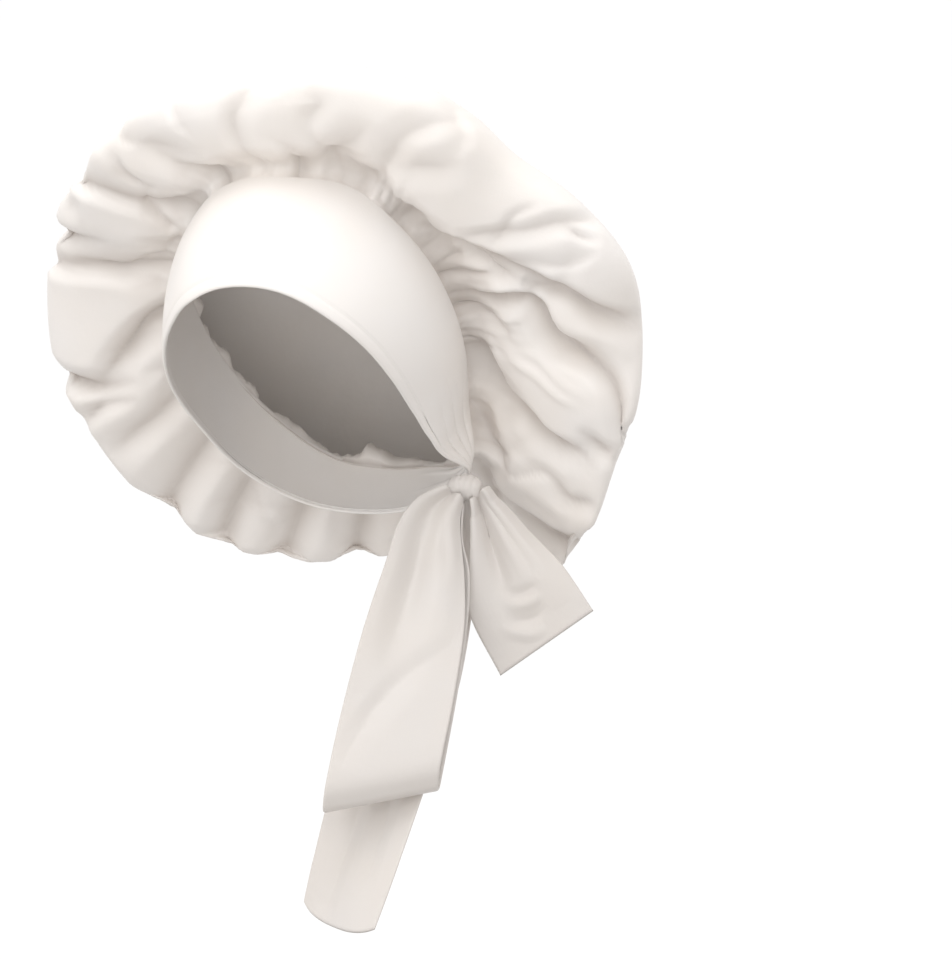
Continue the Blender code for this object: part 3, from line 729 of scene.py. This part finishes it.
def knot():
    """Pillow: side = -cos x, section radius = sin x to a power, less cusps for the pleats."""
    turns = np.linspace(0, 2 * math.pi, KNOT_COLUMNS, endpoint=False)
    sides = np.linspace(0, math.pi, KNOT_ROWS + 2)[1:-1]
    side = -np.cos(sides)[:, None]
    radius = np.sin(sides)[:, None] ** KNOT_ROUNDNESS
    slant = side + KNOT_SLANT * np.sin(turns - 0.4)
    pleats = sum(
        depth * np.exp(-abs(slant - place) / KNOT_PLEAT_WIDTH) for place, depth in KNOT_PLEATS
    )
    radius = radius * (1 - pleats)
    grid = KNOT_DRAWN_IN * np.stack(np.broadcast_arrays(
        side * KNOT_WIDTH / 2,
        radius * np.sin(turns) * KNOT_DEPTH / 2,
        radius * np.cos(turns) * KNOT_HEIGHT / 2,
    ), -1) @ TIE_DIRECTIONS + knot_centre
    rows, columns = grid.shape[:2]
    half = KNOT_DRAWN_IN * KNOT_WIDTH / 2
    ends = knot_centre + np.array(((-half, 0, 0), (half, 0, 0))) @ TIE_DIRECTIONS
    row, column = grid_corners(rows, columns + 1)
    numbers = row * columns + column % columns
    ring = np.arange(columns)
    following = (ring + 1) % columns
    first = np.stack((following, ring, np.full(columns, rows * columns)), -1)
    last = np.stack((ring, following, np.full(columns, columns + 1)), -1) + (rows - 1) * columns
    last[:, 2] = rows * columns + 1
    points = np.vstack((grid.reshape(-1, 3), ends))
    flat = np.stack(np.broadcast_arrays(
        np.append(turns, 2 * math.pi) * KNOT_HEIGHT / 2, np.arange(rows)[:, None] * KNOT_ROW_STEP
    ), -1)
    caps = np.stack((flat[0, ring], flat[0, ring + 1], flat[0, ring]), 1).reshape(-1, 2)
    flats = [flat[row, column].reshape(-1, 2), caps, caps]
    faces = numbers.tolist() + first.tolist() + last.tolist()
    return cloth_piece(
        "knot_cloth", points.tolist(), faces, flats, tie_satin, "tie_knot")


wrap = knot()
print("knot at", knot_centre.round(4), len(wrap.data.polygons), "faces")

# %% [markdown]
# ## Straps
# Each strap is a flat tube of satin 60 mm wide. It follows a route through a few stations, and
# its width is drawn together at the knot. Cloth keeps its width, so where the strap is narrow
# the rest of it stands up in pleats: the narrower, the deeper they are. A few soft folds are lines
# drawn on the flat strap, as on the crown. Near the knot each strap is tucked over it.

# %% Strap routes and surface
STRAP_WIDTH = 0.060
STRAP_THICKNESS = 0.0016
STRAP_ROLL = 0.0016
LOOP_LENGTH = 0.160
LONG_TAIL_LENGTH = 0.238
SHORT_TAIL_LENGTH = 0.092
TAIL_CUT = 0.013
STRAP_PLEATS = 1.5
PLEAT_PHASE = 0.1
NARROWEST = 0.2
CORNER_ROUND = 0.007
STRAP_SEATED = 0.002
STRAP_TUCK = 0.0045
TUCK_DIRECTION = (0.0, 0.6, 0.8)

# Shares of a strap's length: the tuck at its start, and where a loop comes back to the knot
TUCK_OUT = 0.2
TUCK_BACK = 0.12

# Side, front, drop as shares of the strap's length, width share, lean and turn in degrees
LOOP_ROUTE = (
    (0.000, 0.000, 0.000, 0.20, -32, 0),
    (-0.055, 0.042, 0.055, 0.45, -28, 0),
    (-0.082, 0.082, 0.130, 0.63, -22, 0),
    (-0.100, 0.138, 0.240, 0.73, -9, 0),
    (-0.140, 0.225, 0.440, 0.92, 4, 0),
    (-0.190, 0.312, 0.675, 1.02, 9, 0),
    (-0.232, 0.374, 0.875, 1.04, 11, 0),
    (-0.244, 0.360, 0.960, 1.04, 11, 0),
    (-0.242, 0.320, 0.985, 1.04, 11, 0),
    (-0.232, 0.282, 0.940, 1.04, 10, 0),
    (-0.180, 0.215, 0.675, 1.02, 8, 0),
    (-0.125, 0.142, 0.440, 0.90, 4, 0),
    (-0.080, 0.068, 0.240, 0.70, -8, 0),
    (-0.050, 0.016, 0.110, 0.45, -26, 0),
    (0.000, -0.026, 0.018, 0.20, -40, 0),
)
LONG_TAIL_ROUTE = (
    (0.000, 0.000, 0.000, 0.20, -8, 0),
    (-0.022, -0.026, 0.060, 0.42, -6, 0),
    (-0.066, -0.010, 0.190, 0.74, -4, 5),
    (-0.125, 0.070, 0.420, 0.95, 3, 15),
    (-0.185, 0.152, 0.620, 1.00, 8, 26),
    (-0.240, 0.215, 0.800, 1.00, 8, 35),
    (-0.285, 0.255, 0.945, 0.98, 4, 45),
)
SHORT_TAIL_ROUTE = (
    (0.000, 0.000, 0.000, 0.20, 40, 0),
    (0.050, 0.028, 0.090, 0.36, 37, 0),
    (0.126, 0.070, 0.300, 0.64, 31, 0),
    (0.214, 0.120, 0.520, 0.94, 29, 0),
    (0.400, 0.155, 0.840, 1.02, 35, 0),
)

# Folds pressed into the straps, all in mm: the width on either side, then the points of the line:
# run from the knot, place across the strap, depth, below 0 for a ridge
LOOP_FOLDS = (
    (16, 9, (88, 29, 0), (98, 18, 1.6), (108, 2, 2.6), (124, -12, 2.8), (142, -20, 1.6),
     (156, -24, 0)),
    (9, 14, (24, -6, 0), (50, -8, 2.0), (78, -10, 1.6), (104, -13, 0)),
    (6, 8, (18, 12, 0), (36, 14, 1.6), (60, 15, 0)),
)
LONG_TAIL_FOLDS = (
    (8, 9, (150, -8, 0), (180, -9, 2.2), (210, -10, 2.4), (238, -12, 1.5)),
    (8, 8, (150, 10, 0), (185, 10, 1.8), (215, 11, 1.6), (236, 12, 0)),
)
SHORT_TAIL_FOLDS = (
    (7, 6, (8, 9, 1.5), (26, 13, 2.6), (46, 14, 1.8), (58, 12, 0)),
    (6, 7, (6, -8, 1.2), (24, -7, 2.2), (46, -5, 1.6), (58, -8, 0)),
    (4, 4, (54, -8, 0), (59, -1, 1.3), (60, 7, 1.3), (57, 13, 0)),
    (3, 3, (60, -10, 0), (65, -3, -1.3), (67, 5, -1.3), (64, 11, 0)),
    (4, 4, (66, -14, 0), (72, -7, 1.4), (75, 2, 1.4), (72, 12, 0)),
    (3, 4, (70, -18, 0), (77, -11, -1.3), (82, -4, -1.3), (83, 5, 0)),
)
LOOP_LEAVES = (-0.62, 0.40, -0.68)
LONG_TAIL_LEAVES = (-0.10, -0.50, -0.86)
SHORT_TAIL_LEAVES = (0.78, -0.02, -0.62)


def strap_middle(route, length, leaves, cut, rows, columns, folds):
    """Middle surface of a strap: centre line + share across x width x the swung direction.

    Pleats stand out of the surface by (width drawn in) / (pi x pleats) x a cosine across, and
    the drawn folds sink away from the side that faces forward near the knot.
    """
    leave = unit(np.array(leaves))
    start = knot_centre + leave * (knot_reach(leave) - STRAP_SEATED) @ TIE_DIRECTIONS
    table = np.array(route, float)
    steps = np.linspace(0, len(table) - 1, rows)
    side, front, drop, width, lean, turn = curve_through(np.arange(len(table)), table, steps).T
    centre = start + length * np.stack((side, front, -drop), -1) @ TIE_DIRECTIONS
    tucked = 1 - smooth(0, TUCK_OUT, steps / steps[-1])
    if route is LOOP_ROUTE:
        tucked = np.maximum(tucked, 1 - smooth(0, TUCK_BACK, 1 - steps / steps[-1]))
    centre = centre + (tucked[:, None] * STRAP_TUCK * TUCK_DIRECTION) @ TIE_DIRECTIONS
    lean, turn = np.radians(lean), np.radians(turn)
    swung = np.stack((np.cos(lean) * np.cos(turn), np.cos(lean) * np.sin(turn), np.sin(lean)), -1)
    share = edge_spacing(columns)[:, None] - 0.5
    across = (width[:, None] * STRAP_WIDTH * swung @ TIE_DIRECTIONS)[:, None] * share
    along = unit(np.gradient(centre, axis=0))[:, None]
    late = np.clip(steps / steps[-1] * 2 - 1, 0, 1)[:, None, None] ** 2
    corners = cut and CORNER_ROUND * np.abs(2 * share) ** 3
    middle = centre[:, None] + across + along * late * (share * cut - corners)
    narrowed = np.clip(width, NARROWEST, 1)
    drawn = np.sqrt(np.clip(1 / narrowed - 1, 0, 4))
    depth = narrowed * STRAP_WIDTH / (math.pi * STRAP_PLEATS) * drawn
    wave = np.cos(2 * math.pi * STRAP_PLEATS * (share[:, 0] + PLEAT_PHASE)) * 0.5
    normals = surface_normals(middle, False)
    run = np.append(0, np.cumsum(np.linalg.norm(np.diff(centre, axis=0), axis=-1)))
    flat = np.stack(np.broadcast_arrays(run[:, None], share[:, 0] * STRAP_WIDTH, 0.0), -1)
    sunk = np.zeros(flat.shape[:-1])
    for before, after, *stations in folds:
        stations = np.array(stations, float)
        at = np.linspace(0, len(stations) - 1, LINE_POINTS)
        line = curve_through(np.arange(len(stations)), stations, at)
        path = np.stack((line[:, 0] * MM, line[:, 1] * MM, np.zeros(LINE_POINTS)), -1)
        near, amount, _ = fold_along(
            flat.reshape(-1, 3), path, (0.0, 0.0, 1.0), line[:, 2], before, after)
        sunk.ravel()[near] += amount
    facing = np.sign((normals[rows // 5].mean(0) * camera_back).sum())
    bend = depth[:, None] * wave - facing * sunk
    return middle + normals * bend[..., None], share[:, 0]


def strap(name, middle, share, node):
    """Two layers of satin round the middle surface, thin at the folded edges and at the ends."""
    columns = middle.shape[1]
    steps = np.linalg.norm(np.diff(middle[:, columns // 2], axis=0), axis=-1)
    lengths = np.append(0, np.cumsum(steps))
    across = round_edge(share + 0.5, STRAP_WIDTH, STRAP_ROLL, STRAP_THICKNESS)
    ends = round_edge(lengths / lengths[-1], lengths[-1], STRAP_ROLL, STRAP_THICKNESS)
    half = across * ends[:, None] / (STRAP_THICKNESS / 2)
    flat = np.stack(np.broadcast_arrays(share * STRAP_WIDTH, lengths[:, None]), -1)
    piece = two_layers(name, middle, half, flat, False, tie_satin, node)
    print(name, round(float(lengths[-1]), 3), "m long,", len(piece.data.polygons), "faces")
    return piece, float(lengths[-1])


loop_middle = strap_middle(
    LOOP_ROUTE, LOOP_LENGTH, LOOP_LEAVES, 0.0, rows=260, columns=60, folds=LOOP_FOLDS)
loop, loop_run = strap("loop_cloth", *loop_middle, "bow_loop")
long_middle = strap_middle(
    LONG_TAIL_ROUTE, LONG_TAIL_LENGTH, LONG_TAIL_LEAVES, TAIL_CUT, rows=190, columns=60,
    folds=LONG_TAIL_FOLDS)
long_tail, long_run = strap("long_tail_cloth", *long_middle, "long_tail")
short_middle = strap_middle(
    SHORT_TAIL_ROUTE, SHORT_TAIL_LENGTH, SHORT_TAIL_LEAVES, 0.0, rows=130, columns=70,
    folds=SHORT_TAIL_FOLDS)
short_tail, short_run = strap("short_tail_cloth", *short_middle, "short_tail")

# %% [markdown]
# ## Strap lengths
# The crown is cut from a disc and the band from a strip that tapers to less than its full
# width. The three lengths of strap that show are printed: the loop and the short tail together,
# then the long tail.

print("strap shown, metres:", round(loop_run + short_run, 3), "and", round(long_run, 3))

# %% [markdown]
# ## Room and light
# A white bonnet in a white room: the floor runs out and turns up into a wall all round, so every
# view has the same pale ground. The room glows by itself and doesn't light the cloth. That is
# left to the sky, brighter above than below, and to four soft boxes: a wide one in front, one high
# over the forehead, a smaller one at the upper left and a faint one below that looks into the
# opening. The top of the bonnet is bright and the folds on the right fall into a warm shade.

# %% Floor, wall and lights
FLOOR_HEIGHT = cad_box[0][2] - 0.05
FLOOR_MIDDLE = 0.02
FLOOR_RADIUS = 4.5
FLOOR_RINGS = 12
WALL_BEND = 1.5
BEND_RINGS = 24
WALL_HEIGHTS = (2.6, 4.0)
STUDIO_COLUMNS = 96
ROOM_GLOW = 0.86
FRONT_POWER = 3.3
KEY_POWER = 0.9
TOP_POWER = 4.6
LOW_POWER = 0.5
SKY_ABOVE = 0.94
SKY_BELOW = 0.56
SKY_SIDE = 0.06


def studio():
    """Bowl: a flat disc, then a quarter circle up to a wall, turned round the vertical axis."""
    bend = np.linspace(0, math.pi / 2, BEND_RINGS)[1:]
    floor = np.linspace(FLOOR_MIDDLE, FLOOR_RADIUS, FLOOR_RINGS)
    wall = np.full(len(WALL_HEIGHTS), FLOOR_RADIUS + WALL_BEND)
    radius = np.concatenate((floor, FLOOR_RADIUS + WALL_BEND * np.sin(bend), wall))
    rise = WALL_BEND - WALL_BEND * np.cos(bend)
    height = np.concatenate((np.zeros(FLOOR_RINGS), rise, WALL_HEIGHTS)) + FLOOR_HEIGHT
    turns = np.linspace(0, 2 * math.pi, STUDIO_COLUMNS, endpoint=False)
    grid = np.stack(np.broadcast_arrays(
        radius[:, None] * np.cos(turns), radius[:, None] * np.sin(turns), height[:, None]
    ), -1)
    row, column = grid_corners(len(radius), len(turns) + 1)
    numbers = (row * len(turns) + column % len(turns))[:, ::-1]
    middle = [list(range(STUDIO_COLUMNS))]
    mesh = bpy.data.meshes.new("studio")
    mesh.from_pydata(grid.reshape(-1, 3).tolist(), [], numbers.tolist() + middle)
    mesh.shade_smooth()
    material = bpy.data.materials.new("studio_white")
    material.use_nodes = True
    shader = material.node_tree.nodes["Principled BSDF"]
    shader.inputs["Base Color"].default_value = (0.20, 0.20, 0.20, 1.0)
    shader.inputs["Roughness"].default_value = 1.0
    shader.inputs["Specular IOR Level"].default_value = 0.0
    shader.inputs["Emission Color"].default_value = (1.0, 1.0, 1.0, 1.0)
    shader.inputs["Emission Strength"].default_value = ROOM_GLOW
    mesh.materials.append(material)
    room = bpy.data.objects.new("studio", mesh)
    bpy.context.scene.collection.objects.link(room)
    room.visible_diffuse = False


def softbox(name, place, power, size, colour):
    """Square area light at a place in metres that points at the bonnet's middle."""
    data = bpy.data.lights.new(name, "AREA")
    data.energy = power
    data.size = size
    data.color = colour
    light = bpy.data.objects.new(name, data)
    bpy.context.scene.collection.objects.link(light)
    back = unit(np.array(place, float))
    right = unit(np.cross((0, 0, 1), back))
    up = np.cross(back, right)
    matrix = np.eye(4)
    matrix[:3, 0], matrix[:3, 1], matrix[:3, 2], matrix[:3, 3] = right, up, back, place
    light.matrix_world = Matrix(matrix.tolist())
    light.visible_camera = False


def sky():
    """Brightness = a blend from below to above by height, plus a share of the leftward part."""
    world = bpy.data.worlds.new("room")
    world.use_nodes = True
    nodes, links = world.node_tree.nodes, world.node_tree.links
    direction = nodes.new("ShaderNodeTexCoord")
    split = nodes.new("ShaderNodeSeparateXYZ")
    links.new(direction.outputs["Generated"], split.inputs["Vector"])
    height = nodes.new("ShaderNodeMapRange")
    height.inputs["From Min"].default_value = -1.0
    height.inputs["To Min"].default_value = SKY_BELOW
    height.inputs["To Max"].default_value = SKY_ABOVE
    links.new(split.outputs["Z"], height.inputs["Value"])
    leftward = nodes.new("ShaderNodeVectorMath")
    leftward.operation = "DOT_PRODUCT"
    leftward.inputs[1].default_value = tuple(-SKY_SIDE * camera_right)
    links.new(direction.outputs["Generated"], leftward.inputs[0])
    total = nodes.new("ShaderNodeMath")
    total.operation = "ADD"
    links.new(height.outputs["Result"], total.inputs[0])
    links.new(leftward.outputs["Value"], total.inputs[1])
    links.new(total.outputs["Value"], nodes["Background"].inputs["Strength"])
    nodes["Background"].inputs["Color"].default_value = (1.0, 0.965, 0.935, 1.0)
    bpy.context.scene.world = world


studio()
front_place = 1.6 * camera_back + 0.34 * camera_right + np.array((0, 0, 0.55))
softbox("front", front_place, FRONT_POWER, 1.0, (0.98, 0.99, 1.0))
top_place = 0.25 * camera_back - 0.05 * camera_right + np.array((0, 0, 1.10))
softbox("top", top_place, TOP_POWER, 0.8, (1.0, 1.0, 1.0))
low_place = -0.85 * AXIS + 0.10 * camera_right
softbox("low", low_place, LOW_POWER, 0.5, (1.0, 0.985, 0.97))
key_place = 0.44 * camera_back - 0.36 * camera_right + np.array((0, 0, 0.42))
softbox("key", key_place, KEY_POWER, 0.36, (0.98, 0.99, 1.0))
sky()
bpy.context.scene.view_settings.view_transform = "Standard"
print("lights:", [item.name for item in bpy.data.lights])
